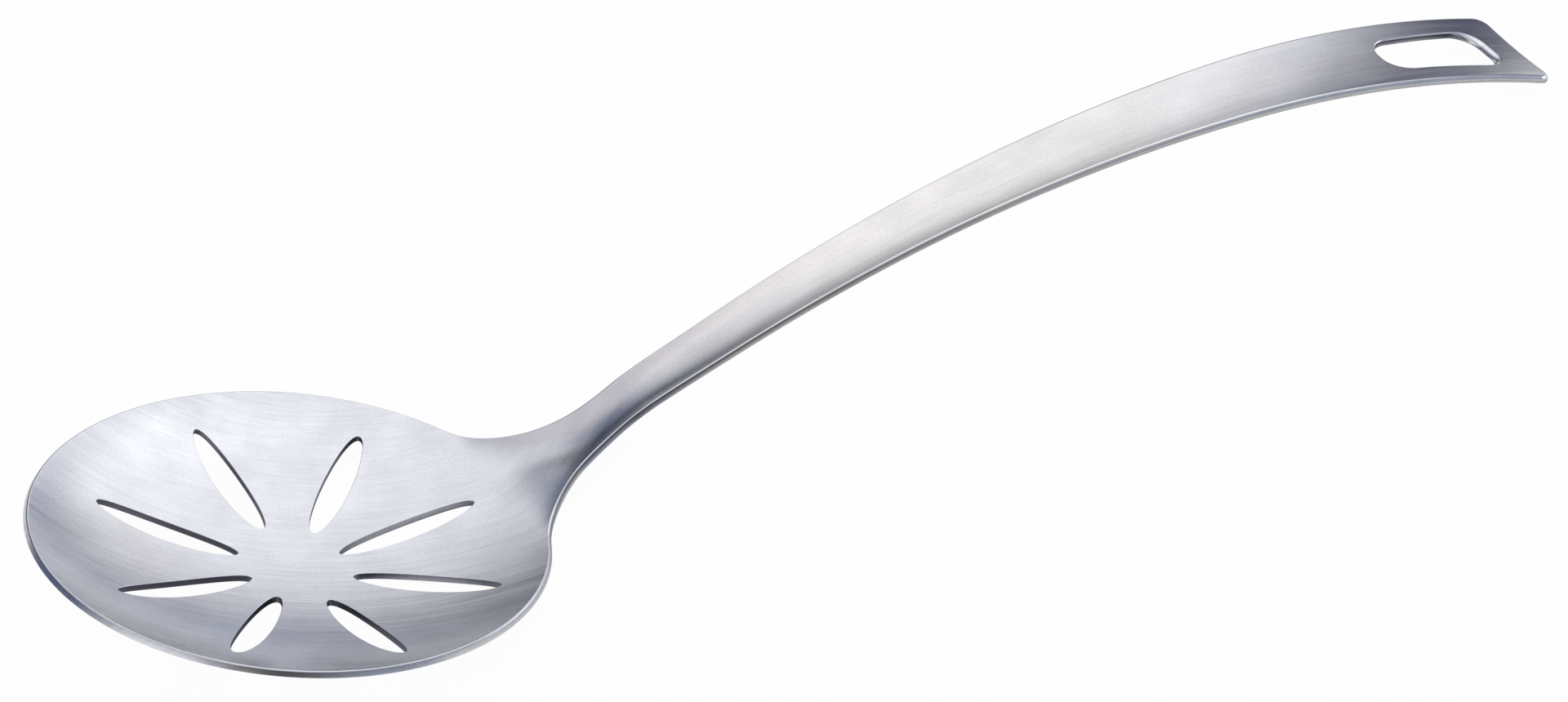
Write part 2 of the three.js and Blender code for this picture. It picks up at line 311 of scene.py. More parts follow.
def steel_piece(name, grids, cap, steel):
    """Joins grids of places and facings into one closed mesh, with the cap as a last face. Points that
    coincide become one, a quad with two such corners becomes a triangle, each grid is wound to agree with
    its facings, and these are kept as the shading normals."""
    quads = []
    count = 0
    for places, facings, _ in grids:
        rows, columns = places.shape[:2]
        index = np.arange(rows * columns).reshape(rows, columns)
        quad = np.stack([index[:-1, :-1], index[:-1, 1:], index[1:, 1:], index[1:, :-1]], -1).reshape(-1, 4)
        corner = places.reshape(-1, 3)[quad]
        wound = np.cross(corner[:, 2] - corner[:, 0], corner[:, 3] - corner[:, 1])
        agrees = (wound * facings.reshape(-1, 3)[quad[:, 0]]).sum() > 0
        quads.append(count + (quad if agrees else quad[:, ::-1]))
        count += rows * columns
    corners = np.concatenate([*(places.reshape(-1, 3) for places, _, _ in grids), cap])
    facings = np.concatenate([*(facings.reshape(-1, 3) for _, facings, _ in grids), np.zeros_like(cap)])
    dull_and_shade = np.concatenate([*(dull_and_shade.ravel() for _, _, dull_and_shade in grids), np.zeros(len(cap))])
    rounded = np.round(corners, MERGE_DECIMALS)
    _, first, same = np.unique(rounded, axis=0, return_index=True, return_inverse=True)
    same = same.reshape(-1)
    quads = same[np.concatenate(quads)]
    doubled = quads == np.roll(quads, -1, axis=1)
    folded = doubled.sum(1) == 1
    triangles = quads[folded][~doubled[folded]].reshape(-1, 3)
    faces = quads[~doubled.any(1)].tolist() + triangles.tolist() + [same[count:].tolist()]
    places = corners[first]
    turn = np.array(tip_turn).T
    mesh = bpy.data.meshes.new(name)
    mesh.from_pydata((places @ turn * MM + np.array(table_shift)).tolist(), [], faces)
    mesh.shade_smooth()
    loops = np.empty(len(mesh.loops), int)
    mesh.loops.foreach_get("vertex_index", loops)
    mesh.uv_layers.new(name="brush").data.foreach_set("uv", brush_map(places)[loops].ravel())
    mesh.normals_split_custom_set_from_vertices((facings[first] @ turn).tolist())
    x = places[:, 0]
    # This attribute carries the cut walls' darkening: their duller punched finish and painted shade
    looks = {"sheared_and_shaded": dull_and_shade[first], "strokes": stroke_strength(x), "on_handle": handle_tint(x)}
    for look, values in looks.items():
        mesh.attributes.new(look, "FLOAT", "POINT").data.foreach_set("value", values)
    mesh.materials.append(steel)
    piece = bpy.data.objects.new(name, mesh)
    bpy.context.scene.collection.objects.link(piece)
    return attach(piece, "root")


# Slots: ellipses that point at a centre a little nearer the handle than the bowl's own. The sheet round
# each is a band from its edge to the borders of its sector, and a ring reaches from a circle clear of all
# slots to the outline
SLOT_COUNT = 8
SLOT_LENGTH = 31.3
SLOT_WIDTH = 6.2
SLOT_MARGIN_ALONG = 13.3
SLOT_MARGIN_ACROSS = 9.0
SLOT_CENTRE = np.array([2.6, 0.0])
SLOT_ROUND = 0.12
RIM_UPPER_ROUND = 0.38
RIM_LOWER_ROUND = 0.12
# Darkening of the bowl's cut walls, for their duller punched finish and as painted shade
SHEAR_AND_SHADE_ON_BOWL = 0.3
CLEAR_RADIUS = 50.0
SLOT_END_SHARE = 0.16
SIDE_COLUMNS = 30
ARC_COLUMNS = 26
FILLET_COLUMNS = 44
STRAIGHT_COLUMNS = 5
JOINT_COLUMNS = 14
SECTOR_ROWS = 14
RING_ROWS = 22
SMALLEST_SINE = 1e-9


def polar(radius, angle):
    """Plan points at a radius and angle from the origin."""
    return np.stack([radius * np.cos(angle), radius * np.sin(angle)], -1)


def outline(angle):
    """Where the ray at an angle from the bowl's middle meets the outline, and the way out of the sheet
    there: the rim circle, then the near crossing of the fillet circle, then the neck's straight side."""
    turn = np.abs((angle + math.pi) % (2 * math.pi) - math.pi)
    side = np.where(np.sin(angle) < 0, -1.0, 1.0)
    ray = polar(1.0, turn)
    fillet = np.array([fillet_x, fillet_y])
    reach = ray @ fillet
    crossing = reach - np.sqrt(np.maximum(reach ** 2 - fillet @ fillet + NECK_FILLET ** 2, 0))
    on_rim = turn >= math.atan2(fillet_y, fillet_x)
    on_straight = turn <= math.atan2(neck_half, fillet_x)
    straight = neck_half / np.maximum(np.sin(turn), SMALLEST_SINE)
    radius = np.where(on_rim, BOWL_RADIUS, np.where(on_straight, straight, crossing))
    rim = ray * radius[:, None]
    outward = np.where(on_rim[:, None], ray, (fillet - rim) / NECK_FILLET)
    outward = np.where(on_straight[:, None], np.array([0.0, 1.0]), outward)
    flip = np.stack([np.ones_like(side), side], -1)
    return rim * flip, unit(outward * flip)


def sector_corner(index):
    """Angle at which the border line before a slot meets the clear circle."""
    way = polar(1.0, (index - 0.5) * 2 * math.pi / SLOT_COUNT)
    reach = math.sqrt(CLEAR_RADIUS ** 2 - (SLOT_CENTRE[0] * way[1]) ** 2) - SLOT_CENTRE[0] * way[0]
    corner = SLOT_CENTRE + reach * way
    return math.atan2(corner[1], corner[0]) % (2 * math.pi)


# Angles of the ring's columns, sector by sector; the first sector holds the neck and the joint
corner_angles = [sector_corner(index) for index in range(1, SLOT_COUNT + 1)]
fillet_rim = outline(np.array(corner_angles[:1]))[0][0]
fillet_from = math.atan2(fillet_rim[1] - fillet_y, fillet_rim[0] - fillet_x)
fillet_turn = np.linspace(fillet_from, -math.pi / 2, FILLET_COLUMNS + 1)
fillet_points = np.array([fillet_x, fillet_y]) + polar(NECK_FILLET, fillet_turn)
straight_x = np.linspace(fillet_x, joint_x, STRAIGHT_COLUMNS + 1)[1:]
straight_points = np.stack([straight_x, np.full_like(straight_x, neck_half)], -1)
neck_side = np.concatenate([fillet_points, straight_points])
neck_angles = np.arctan2(neck_side[:, 1], neck_side[:, 0])
rim_angles = [np.linspace(start, stop, ARC_COLUMNS + 1)[:-1]
              for start, stop in zip(corner_angles, corner_angles[1:])]
edge_angles = np.concatenate([neck_angles[::-1][:-1], *rim_angles, 2 * math.pi - neck_angles])
rim, rim_outward = outline(edge_angles)
rim = drawn_in(rim, rim_outward)
joint_half = rim[0, 1]
joint_columns = np.linspace(-1, 1, JOINT_COLUMNS + 1)[1:-1, None]
joint_ends = np.array([[joint_x, joint_half], [joint_x, -joint_half]])
joint_outward = np.array([[0.0, 1.0], [0.0, -1.0]])


def outer_loop(inset):
    """The outline drawn in by an inset, closed along the joint."""
    line = np.concatenate([np.full_like(joint_columns, joint_x), joint_columns * (joint_half - inset)], 1)
    return np.concatenate([rim - rim_outward * inset, line])


def slot_loop(index, turn, inset):
    """The slot's ellipse at the given turns round its own middle, set back into the sheet, and the way
    into the slot. Slots across the bowl lie nearer the rim than those along it, by a squared sine."""
    angle = index * 2 * math.pi / SLOT_COUNT
    margin = SLOT_MARGIN_ALONG + (SLOT_MARGIN_ACROSS - SLOT_MARGIN_ALONG) * math.sin(angle) ** 2
    middle = BOWL_RADIUS - margin - SLOT_LENGTH / 2
    edge = np.stack([middle + SLOT_LENGTH / 2 * np.cos(turn), SLOT_WIDTH / 2 * np.sin(turn)], -1)
    inward = -unit(np.stack([SLOT_WIDTH * np.cos(turn), SLOT_LENGTH * np.sin(turn)], -1))
    spin = np.array([[math.cos(angle), math.sin(angle)], [-math.sin(angle), math.cos(angle)]])
    return SLOT_CENTRE + (edge - inward * inset) @ spin, inward @ spin


def bowl_grids():
    """Sectors, ring and edges of the bowl as grids. The columns crowd towards both ends of a sector's
    borders, by a cosine, and the end of a slot that faces the rim takes those of the sector's arc."""
    upper, lower = outer_loop(RIM_UPPER_ROUND), outer_loop(RIM_LOWER_ROUND)
    circle = polar(CLEAR_RADIUS, np.arctan2(upper[:, 1], upper[:, 0]) % (2 * math.pi))
    # The rim's walls are darkened more towards the neck, as painted shade with the duller punched finish
    rim_shear_and_shade = SHEAR_AND_SHADE_ON_BOWL + (1 - SHEAR_AND_SHADE_ON_BOWL) * ease((rim[:, 0] - NECK_RUB_X) / NECK_RUB_REACH)
    grids = [
        face_grid(band(closed(circle), closed(upper), RING_ROWS), 0),
        face_grid(band(closed(circle), closed(lower), RING_ROWS), SHEET),
        edge_grid(rim, rim_outward, RIM_UPPER_ROUND, RIM_LOWER_ROUND, rim_shear_and_shade),
    ]
    side = (1 - np.cos(math.pi * np.linspace(0, 1, SIDE_COLUMNS + 1)[:-1, None])) / 2
    end_half = math.pi * SLOT_END_SHARE
    sweep = np.linspace(-math.pi, -end_half, SIDE_COLUMNS + 1)[:-1]
    first = len(neck_angles) - 1
    for index in range(SLOT_COUNT):
        start = first + (index - 1) * ARC_COLUMNS
        arc = circle[start:start + ARC_COLUMNS + 1]
        if index == 0:
            arc = np.concatenate([circle[-len(joint_columns) - first - 1:], circle[:first + 1]])
        border = np.concatenate([SLOT_CENTRE + (arc[0] - SLOT_CENTRE) * side, arc,
                                 (SLOT_CENTRE + (arc[-1] - SLOT_CENTRE) * side)[::-1]])
        turn = np.concatenate([sweep, np.linspace(-end_half, end_half, len(arc)), -sweep[::-1]])
        sector = band(slot_loop(index, turn, SLOT_ROUND)[0], border, SECTOR_ROWS)
        grids += [face_grid(sector, 0), face_grid(sector, SHEET)]
        grids.append(edge_grid(*slot_loop(index, turn, 0), SLOT_ROUND, SLOT_ROUND, SHEAR_AND_SHADE_ON_BOWL))
    return grids


def joint_cap(columns):
    """The cut end of the sheet at the joint as one loop: along the top, down one edge, back below and up
    the other. The columns are shares of its half width."""
    line = np.concatenate([np.full_like(columns, joint_x), columns], 1)
    edges = edge_grid(joint_ends, joint_outward, RIM_UPPER_ROUND, RIM_LOWER_ROUND)[0]
    top = face_grid(line * np.array([1, joint_half - RIM_UPPER_ROUND]), 0)[0]
    below = face_grid(line * np.array([1, joint_half - RIM_LOWER_ROUND]), SHEET)[0]
    return np.concatenate([top, edges[:, 0], below[::-1], edges[::-1, 1]])


# Brushed stainless steel
# Austenitic stainless, belt-brushed to a satin: a light, slightly cool grey whose reflections stretch
# across fine parallel scratches. Single deeper strokes show as light and dark hairs, drawn several times
# wider than they are, because real scratches are too fine to show in the render.
STEEL_COLOUR = "#cacbcd"
HANDLE_STEEL_COLOUR = "#cdcbc8"
STEEL_ROUGHNESS = 0.24
STEEL_ROUGHNESS_REACH = 0.03
STEEL_ANISOTROPY = 0.55
ACROSS_STROKES = 0.25
HAIR_LENGTH_MM = 16.0
HAIR_WIDTH_MM = 0.38
HAIR_DEPTH_MM = 0.010
HAIR_TINT = 0.04
STROKE_LENGTH_MM = 45.0
STROKE_WIDTH_MM = 2.2
STROKE_DEPTH_MM = 0.03
CLOUD_SIZE_MM = 11.0
CLOUD_TINT = 0.045
GRAIN_SIZE_MM = 0.7
GRAIN_TINT = 0.03
NOISE_TURN = math.radians(37)
NOISE_DETAIL = 2.0
NOISE_LOW = 0.3
NOISE_HIGH = 0.7
# Most darkening of the cut walls' colour: partly their duller punched finish, partly painted shade
SHEAR_AND_SHADE_DARKENING = 0.85


def linear(code):
    """An sRGB hex colour as linear red, green and blue, by the standard's curve, and an alpha of 1."""
    channels = [int(code[i:i + 2], 16) / 255 for i in (1, 3, 5)]
    return [c / 12.92 if c <= 0.04045 else ((c + 0.055) / 1.055) ** 2.4 for c in channels] + [1.0]


def add(tree, kind, inputs=(), **settings):
    """Adds a node with its settings; inputs are pairs of a socket and a value or another node's
    output."""
    node = tree.nodes.new(kind)
    for name, value in settings.items():
        setattr(node, name, value)
    for socket, value in inputs:
        if isinstance(value, bpy.types.NodeSocket):
            tree.links.new(value, node.inputs[socket])
        else:
            node.inputs[socket].default_value = value
    return node


def streaks(tree, strokes, length_mm, width_mm):
    """Noise stretched along the strokes to the given length and width, between 0 and 1. Its cells are
    turned after the stretch, so that their borders don't line up across the strokes."""
    scale = (1 / (length_mm * MM), 1 / (width_mm * MM), 1.0)
    stretched = add(tree, "ShaderNodeMapping", [("Vector", strokes), ("Scale", scale),
                                                ("Rotation", (0, 0, NOISE_TURN))]).outputs["Vector"]
    return add(tree, "ShaderNodeTexNoise", [("Vector", stretched), ("Scale", 1.0), ("Detail", NOISE_DETAIL)],
               noise_dimensions="2D").outputs["Fac"]


def swing(tree, noise, middle, reach):
    """Maps most of a noise's range to that far below and above a middle value."""
    return add(tree, "ShaderNodeMapRange",
               [("Value", noise), ("From Min", NOISE_LOW), ("From Max", NOISE_HIGH),
                ("To Min", middle - reach), ("To Max", middle + reach)], clamp=False).outputs["Result"]


def brushed_steel(name):
    """The steel's colour is tinted by hairs, clouds and grain, and darkened on the cut walls for their
    duller punched finish and as painted shade. Strokes vary its roughness, hairs and strokes together are
    its bump, and its anisotropy lies along the strokes."""
    material = bpy.data.materials.new(name)
    material.use_nodes = True
    tree = material.node_tree
    tree.nodes.clear()
    strokes = add(tree, "ShaderNodeUVMap", uv_map="brush").outputs["UV"]
    hair = streaks(tree, strokes, HAIR_LENGTH_MM, HAIR_WIDTH_MM)
    stroke = streaks(tree, strokes, STROKE_LENGTH_MM, STROKE_WIDTH_MM)
    cloud = streaks(tree, strokes, CLOUD_SIZE_MM, CLOUD_SIZE_MM)
    grain = streaks(tree, strokes, GRAIN_SIZE_MM, GRAIN_SIZE_MM)
    strength = add(tree, "ShaderNodeAttribute", attribute_name="strokes").outputs["Fac"]
    sheared_and_shaded = add(tree, "ShaderNodeAttribute", attribute_name="sheared_and_shaded").outputs["Fac"]
    on_handle = add(tree, "ShaderNodeAttribute", attribute_name="on_handle").outputs["Fac"]
    tint = add(tree, "ShaderNodeMath", [(0, swing(tree, hair, 0, HAIR_TINT)), (1, strength),
                                        (2, swing(tree, cloud, 1, CLOUD_TINT))],
               operation="MULTIPLY_ADD").outputs[0]
    tint = add(tree, "ShaderNodeMath", [(0, tint), (1, swing(tree, grain, 0, GRAIN_TINT))],
               operation="ADD").outputs[0]
    # Painted shade together with the duller punched finish darkens the cut walls' colour
    dulled_and_shaded = add(tree, "ShaderNodeMath", [(0, sheared_and_shaded), (1, -SHEAR_AND_SHADE_DARKENING), (2, 1.0)],
                 operation="MULTIPLY_ADD").outputs[0]
    tint = add(tree, "ShaderNodeMath", [(0, tint), (1, dulled_and_shaded)], operation="MULTIPLY").outputs[0]
    plain = add(tree, "ShaderNodeMixRGB", [("Fac", on_handle), (1, linear(STEEL_COLOUR)),
                                           (2, linear(HANDLE_STEEL_COLOUR))]).outputs[0]
    colour = add(tree, "ShaderNodeVectorMath", [(0, plain), ("Scale", tint)],
                 operation="SCALE").outputs["Vector"]
    rough = swing(tree, stroke, STEEL_ROUGHNESS, STEEL_ROUGHNESS_REACH)
    fine = add(tree, "ShaderNodeMath", [(0, hair), (1, HAIR_DEPTH_MM)], operation="MULTIPLY").outputs[0]
    height = add(tree, "ShaderNodeMath", [(0, stroke), (1, STROKE_DEPTH_MM), (2, fine)],
                 operation="MULTIPLY_ADD").outputs[0]
    height = add(tree, "ShaderNodeMath", [(0, height), (1, strength)], operation="MULTIPLY").outputs[0]
    bump = add(tree, "ShaderNodeBump", [("Height", height), ("Distance", MM), ("Strength", 1.0)])
    along = add(tree, "ShaderNodeTangent", direction_type="UV_MAP", uv_map="brush").outputs["Tangent"]
    shader = add(tree, "ShaderNodeBsdfPrincipled",
                 [("Base Color", colour), ("Metallic", 1.0), ("Roughness", rough),
                  ("Normal", bump.outputs["Normal"]), ("Anisotropic", STEEL_ANISOTROPY),
                  ("Anisotropic Rotation", ACROSS_STROKES), ("Tangent", along)])
    add(tree, "ShaderNodeOutputMaterial", [("Surface", shader.outputs["BSDF"])])
    return material


steel = brushed_steel("brushed_stainless_steel")
bowl = steel_piece("skimmer_bowl", bowl_grids(), joint_cap(joint_columns)[::-1], steel)
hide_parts("bowl")


# Handle
# A strip of the same sheet, flaring from the neck to a square end with rounded corners, arched lengthwise
# and a little hollow across. A rounded hole for hanging is punched near its end, and wear has eased the
# edges most there.
HANDLE_END_CORNER = 3.5
HOLE_LENGTH = 28.6
HOLE_NECK_WIDTH = 12.0
HOLE_END_WIDTH = 15.6
HOLE_CORNER = 5.4
HOLE_UPPER_ROUND = 0.4
HOLE_END_ROUND = 1.4
HOLE_LOWER_ROUND = 0.1
END_UPPER_ROUND = 0.95
# The handle's cut walls are darkened for a duller punched finish and as painted shade: how much is left at
# the end, and how it grows at the wall's foot from the joint
SHEAR_AND_SHADE_AT_END = 0.3
FOOT_SHEAR_AND_SHADE = 0.35
FOOT_SHEAR_AND_SHADE_REACH = 50.0
WEAR_REACH = 130.0
BLOCK_LENGTH = 46.0
STRIP_ROWS = 110
BLOCK_ROWS = 12
END_COLUMNS = 8
CORNER_COLUMNS = 10
FLANK_COLUMNS = 24
FLIP = np.array([1, -1])

block_x = end_x - BLOCK_LENGTH
corner_x = end_x - HANDLE_END_CORNER
hole_right = end_x - HOLE_FROM_END
hole_left = hole_right - HOLE_LENGTH
hole_flare = math.atan((HOLE_END_WIDTH - HOLE_NECK_WIDTH) / (2 * HOLE_LENGTH))


def run(start, stop, columns):
    """Evenly spaced points from start, up to but not including stop."""
    share = np.linspace(0, 1, columns + 1)[:-1, None]
    return np.asarray(start, float) + (np.asarray(stop, float) - start) * share


def mirrored(half_loop):
    """A half loop from the middle of the end to the middle of the left, carried round as a whole loop."""
    return np.concatenate([half_loop, half_loop[1:-1][::-1] * FLIP])


def hole_loop():
    """The hole's rounded outline with flaring sides, the way into the hole, and how round its upper edge
    is worn, all from the end's middle round. The end that hangs on a hook is the roundest."""
    side_turn = math.pi / 2 + hole_flare
    end_turn = np.linspace(0, side_turn, CORNER_COLUMNS + 1)[:-1]
    neck_turn = np.linspace(side_turn, math.pi, CORNER_COLUMNS + 1)[:-1]
    bend_x = np.array([hole_right - HOLE_CORNER, hole_left + HOLE_CORNER])
    bend_y = HOLE_NECK_WIDTH / 2 + (bend_x - hole_left) * math.tan(hole_flare)
    bend_y = bend_y - HOLE_CORNER / math.cos(hole_flare)
    end_bend, neck_bend = np.stack([bend_x, bend_y], -1)
    right = run((hole_right, 0), (hole_right, end_bend[1]), END_COLUMNS)
    to_side = polar(HOLE_CORNER, side_turn)
    side = run(end_bend + to_side, neck_bend + to_side, FLANK_COLUMNS)
    left = run((hole_left, neck_bend[1]), (hole_left, 0), END_COLUMNS)
    half = np.concatenate([right, end_bend + polar(HOLE_CORNER, end_turn), side,
                           neck_bend + polar(HOLE_CORNER, neck_turn), left, [[hole_left, 0]]])
    ways = np.concatenate([np.tile((-1.0, 0), (END_COLUMNS, 1)), -polar(1.0, end_turn),
                           np.tile(-polar(1.0, side_turn), (FLANK_COLUMNS, 1)), -polar(1.0, neck_turn),
                           np.tile((1.0, 0), (END_COLUMNS + 1, 1))])
    way = mirrored(ways)
    above = HOLE_UPPER_ROUND + (HOLE_END_ROUND - HOLE_UPPER_ROUND) * ease(-way[:, 0])
    return mirrored(half), way, above


def flank(x):
    """Edge of the flaring strip at x on the +Y side, and the way out of the sheet, square to the edge in
    plan by the slope of the flare's power."""
    flare = (HANDLE_END_WIDTH - NECK_WIDTH) / 2 / HANDLE_REACH
    spread = flare * FLARE_POWER * along_handle(x) ** (FLARE_POWER - 1)
    way_out = unit(np.stack([-spread, np.ones_like(x)], -1))
    return drawn_in(np.stack([x, handle_width(x) / 2], -1), way_out), way_out


corner_turn = np.linspace(0, math.pi / 2, CORNER_COLUMNS + 1)[:-1]
corner_y = float(handle_width(corner_x)) / 2 - HANDLE_END_CORNER
end_line = run((end_x, 0), (end_x, corner_y), END_COLUMNS)
end_corner = np.array([corner_x, corner_y]) + polar(HANDLE_END_CORNER, corner_turn)
flank_line, flank_way = flank(np.linspace(corner_x, block_x, FLANK_COLUMNS + 1))
end_way = np.concatenate([np.tile((1.0, 0), (END_COLUMNS, 1)), polar(1.0, corner_turn)])
end_rim = np.concatenate([drawn_in(np.concatenate([end_line, end_corner]), end_way), flank_line])
end_way = np.concatenate([end_way, flank_way])
strip_share = np.linspace(1, 0, CORNER_COLUMNS + END_COLUMNS + 1)[1:]


def worn(x):
    """How far wear has got with the handle's edges: a smooth step from 0 past the neck to 1."""
    return ease((x - HANDLE_BRUSH_X) / WEAR_REACH)


def round_above(x):
    """Round of the handle's upper edge, which wear widens towards the end."""
    return RIM_UPPER_ROUND + (END_UPPER_ROUND - RIM_UPPER_ROUND) * worn(x)


def round_below(x):
    """Round of the handle's lower edge, the same all along."""
    return RIM_LOWER_ROUND + 0 * x


def handle_edge(edge, way):
    """The cut edge along a part of the handle's outline. Its darkening, for a duller punched finish and as
    painted shade, is full at the neck and falls towards the end by the step that rounds the worn edges, and
    at its foot it grows from the joint by a smooth step."""
    x = edge[:, 0]
    shear_and_shade = 1 - (1 - SHEAR_AND_SHADE_AT_END) * worn(x)
    foot = FOOT_SHEAR_AND_SHADE * ease((x - joint_x) / FOOT_SHEAR_AND_SHADE_REACH)
    return edge_grid(edge, way, round_above(x), round_below(x), shear_and_shade, foot)


def block_loop(inset):
    """The outline of the handle's end, drawn in by an inset that depends on x, and closed across the
    strip where the block begins."""
    sides = end_rim - end_way * inset(end_rim[:, :1])
    across = np.stack([np.full_like(strip_share, sides[-1, 0]), strip_share * sides[-1, 1]], -1)
    return mirrored(np.concatenate([sides, across]))


def strip_plan(inset):
    """Plan of the strip from the joint to the block, drawn in by such an inset, as rows across it that
    keep the block's columns."""
    line, way = flank(np.linspace(joint_x, block_x, STRIP_ROWS + 1))
    side = line - way * inset(line[:, :1])
    share = np.concatenate([[1.0], strip_share, -strip_share[::-1][1:], [-1.0]])
    return np.stack([side[:, :1] + 0 * share, side[:, 1:] * share], -1)


def handle_grids():
    """Strip, block round the hole, and edges of the handle as grids. The hole's wall is darkened, for a
    duller punched finish and as painted shade, where its upper edge is least round.
    """
    line, way = flank(np.linspace(joint_x, block_x, STRIP_ROWS + 1))
    hole_rim, hole_way, hole_above = hole_loop()
    # Painted shade with the duller punched finish darkens the hole's wall where its upper edge is least
    # round
    hole_shear_and_shade = (HOLE_END_ROUND - hole_above) / (HOLE_END_ROUND - HOLE_UPPER_ROUND)
    outer_rim = np.concatenate([end_rim[::-1], end_rim[1:] * FLIP])
    outer_way = np.concatenate([end_way[::-1], end_way[1:] * FLIP])
    grids = [
        edge_grid(closed(hole_rim), closed(hole_way), closed(hole_above), HOLE_LOWER_ROUND,
                  closed(hole_shear_and_shade)),
        handle_edge(outer_rim, outer_way),
        handle_edge(line, way),
        handle_edge(line * FLIP, way * FLIP),
    ]
    upper = (hole_rim - hole_way * hole_above[:, None], round_above, 0)
    lower = (hole_rim - hole_way * HOLE_LOWER_ROUND, round_below, SHEET)
    for inner, inset, depth in (upper, lower):
        grids.append(face_grid(band(closed(inner), closed(block_loop(inset)), BLOCK_ROWS), depth))
        grids.append(face_grid(strip_plan(inset), depth))
    return grids


handle_columns = np.concatenate([-strip_share[:-1], strip_share[::-1]])[:, None]
handle = steel_piece("skimmer_handle", handle_grids(), joint_cap(handle_columns), steel)
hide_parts("handle")


# Table
# A table top of matt white laminate. It shows as white, in the steel too, and keeps the skimmer's soft
# shadow: the steel mirrors it darker where the skimmer hides the sky from it. From below it is clear.
TABLE_SIZE = 6.0
TABLE_COLOUR = "#f2f2f3"
TABLE_WHITENING = 0.97
SHADE_REACH = 0.12
SHADE_SAMPLES = 8
SHADE_POWER = 2.0
SHADE_COLOUR = "#e0dcff"
WHITE = "#ffffff"

table_mesh = bpy.data.meshes.new("table")
table_corners = TABLE_SIZE / 2 * np.array([(-1, -1, 0), (1, -1, 0), (1, 1, 0), (-1, 1, 0)])
table_mesh.from_pydata(table_corners.tolist(), [], [(0, 1, 2, 3)])
table = bpy.data.objects.new("table", table_mesh)
bpy.context.scene.collection.objects.link(table)
white = bpy.data.materials.new("matt_white_laminate")
white.use_nodes = True
tree = white.node_tree
tree.nodes.clear()
path = add(tree, "ShaderNodeLightPath").outputs
mirrored_ray = add(tree, "ShaderNodeMath", [(0, path["Is Glossy Ray"]), (1, path["Is Transmission Ray"])],
                   operation="MAXIMUM").outputs[0]
open_sky = add(tree, "ShaderNodeAmbientOcclusion", [("Distance", SHADE_REACH)], samples=SHADE_SAMPLES)
open_sky = add(tree, "ShaderNodeMath", [(0, open_sky.outputs["AO"]), (1, SHADE_POWER)],
               operation="POWER").outputs[0]
shade = add(tree, "ShaderNodeMath", [(0, 1.0), (1, open_sky)], operation="SUBTRACT").outputs[0]
shade = add(tree, "ShaderNodeMath", [(0, shade), (1, mirrored_ray)], operation="MULTIPLY").outputs[0]
level = add(tree, "ShaderNodeMath", [(0, 1.0), (1, shade)], operation="SUBTRACT").outputs[0]
matt = add(tree, "ShaderNodeBsdfDiffuse", [("Color", linear(TABLE_COLOUR))])
shade_colour = add(tree, "ShaderNodeMixRGB",
                   [("Fac", shade), (1, linear(WHITE)), (2, linear(SHADE_COLOUR))]).outputs[0]
glow = add(tree, "ShaderNodeEmission", [("Color", shade_colour), ("Strength", level)])
seen = add(tree, "ShaderNodeMath", [(0, path["Is Camera Ray"]), (1, mirrored_ray)],
           operation="MAXIMUM").outputs[0]
whitened = add(tree, "ShaderNodeMath", [(0, seen), (1, TABLE_WHITENING)], operation="MULTIPLY").outputs[0]
above = add(tree, "ShaderNodeMixShader", [("Fac", whitened), (1, matt.outputs[0]), (2, glow.outputs[0])])
from_below = add(tree, "ShaderNodeNewGeometry").outputs["Backfacing"]
clear = add(tree, "ShaderNodeBsdfTransparent")
surface = add(tree, "ShaderNodeMixShader",
              [("Fac", from_below), (1, above.outputs[0]), (2, clear.outputs[0])])
add(tree, "ShaderNodeOutputMaterial", [("Surface", surface.outputs[0])])
table_mesh.materials.append(white)


# Near panels
# Two round softboxes of diffusing cloth behind the skimmer, not seen in the view: a large key above it and
# a low card just behind the bowl. They fade towards their edges and let the dome show through. Lengths are
# in metres, and turns in degrees right of the line of sight.
KEY_TURN = 12.9
KEY_ELEVATION = 47.6
KEY_DISTANCE = 0.76
KEY_FULL_RADIUS = 0.18
KEY_EDGE_RADIUS = 0.69
KEY_RADIANCE = 1.24
KEY_COLOUR = "#fffcf7"
BOWL_MIDDLE = Vector((-0.128, 0, 0.005))
CARD_TURN = 15
CARD_ELEVATION = 2
CARD_DISTANCE = 0.3
CARD_FULL_RADIUS = 0.03
CARD_EDGE_RADIUS = 0.11
CARD_RADIANCE = 0.44
CARD_COLOUR = "#eef2ff"
PANEL_CORNERS = 64


def ahead(turn, elevation):
    """Unit vector that many degrees right of the viewer's line of sight, at that elevation."""
    return away(VIEW_AZIMUTH + 180 - turn, elevation)


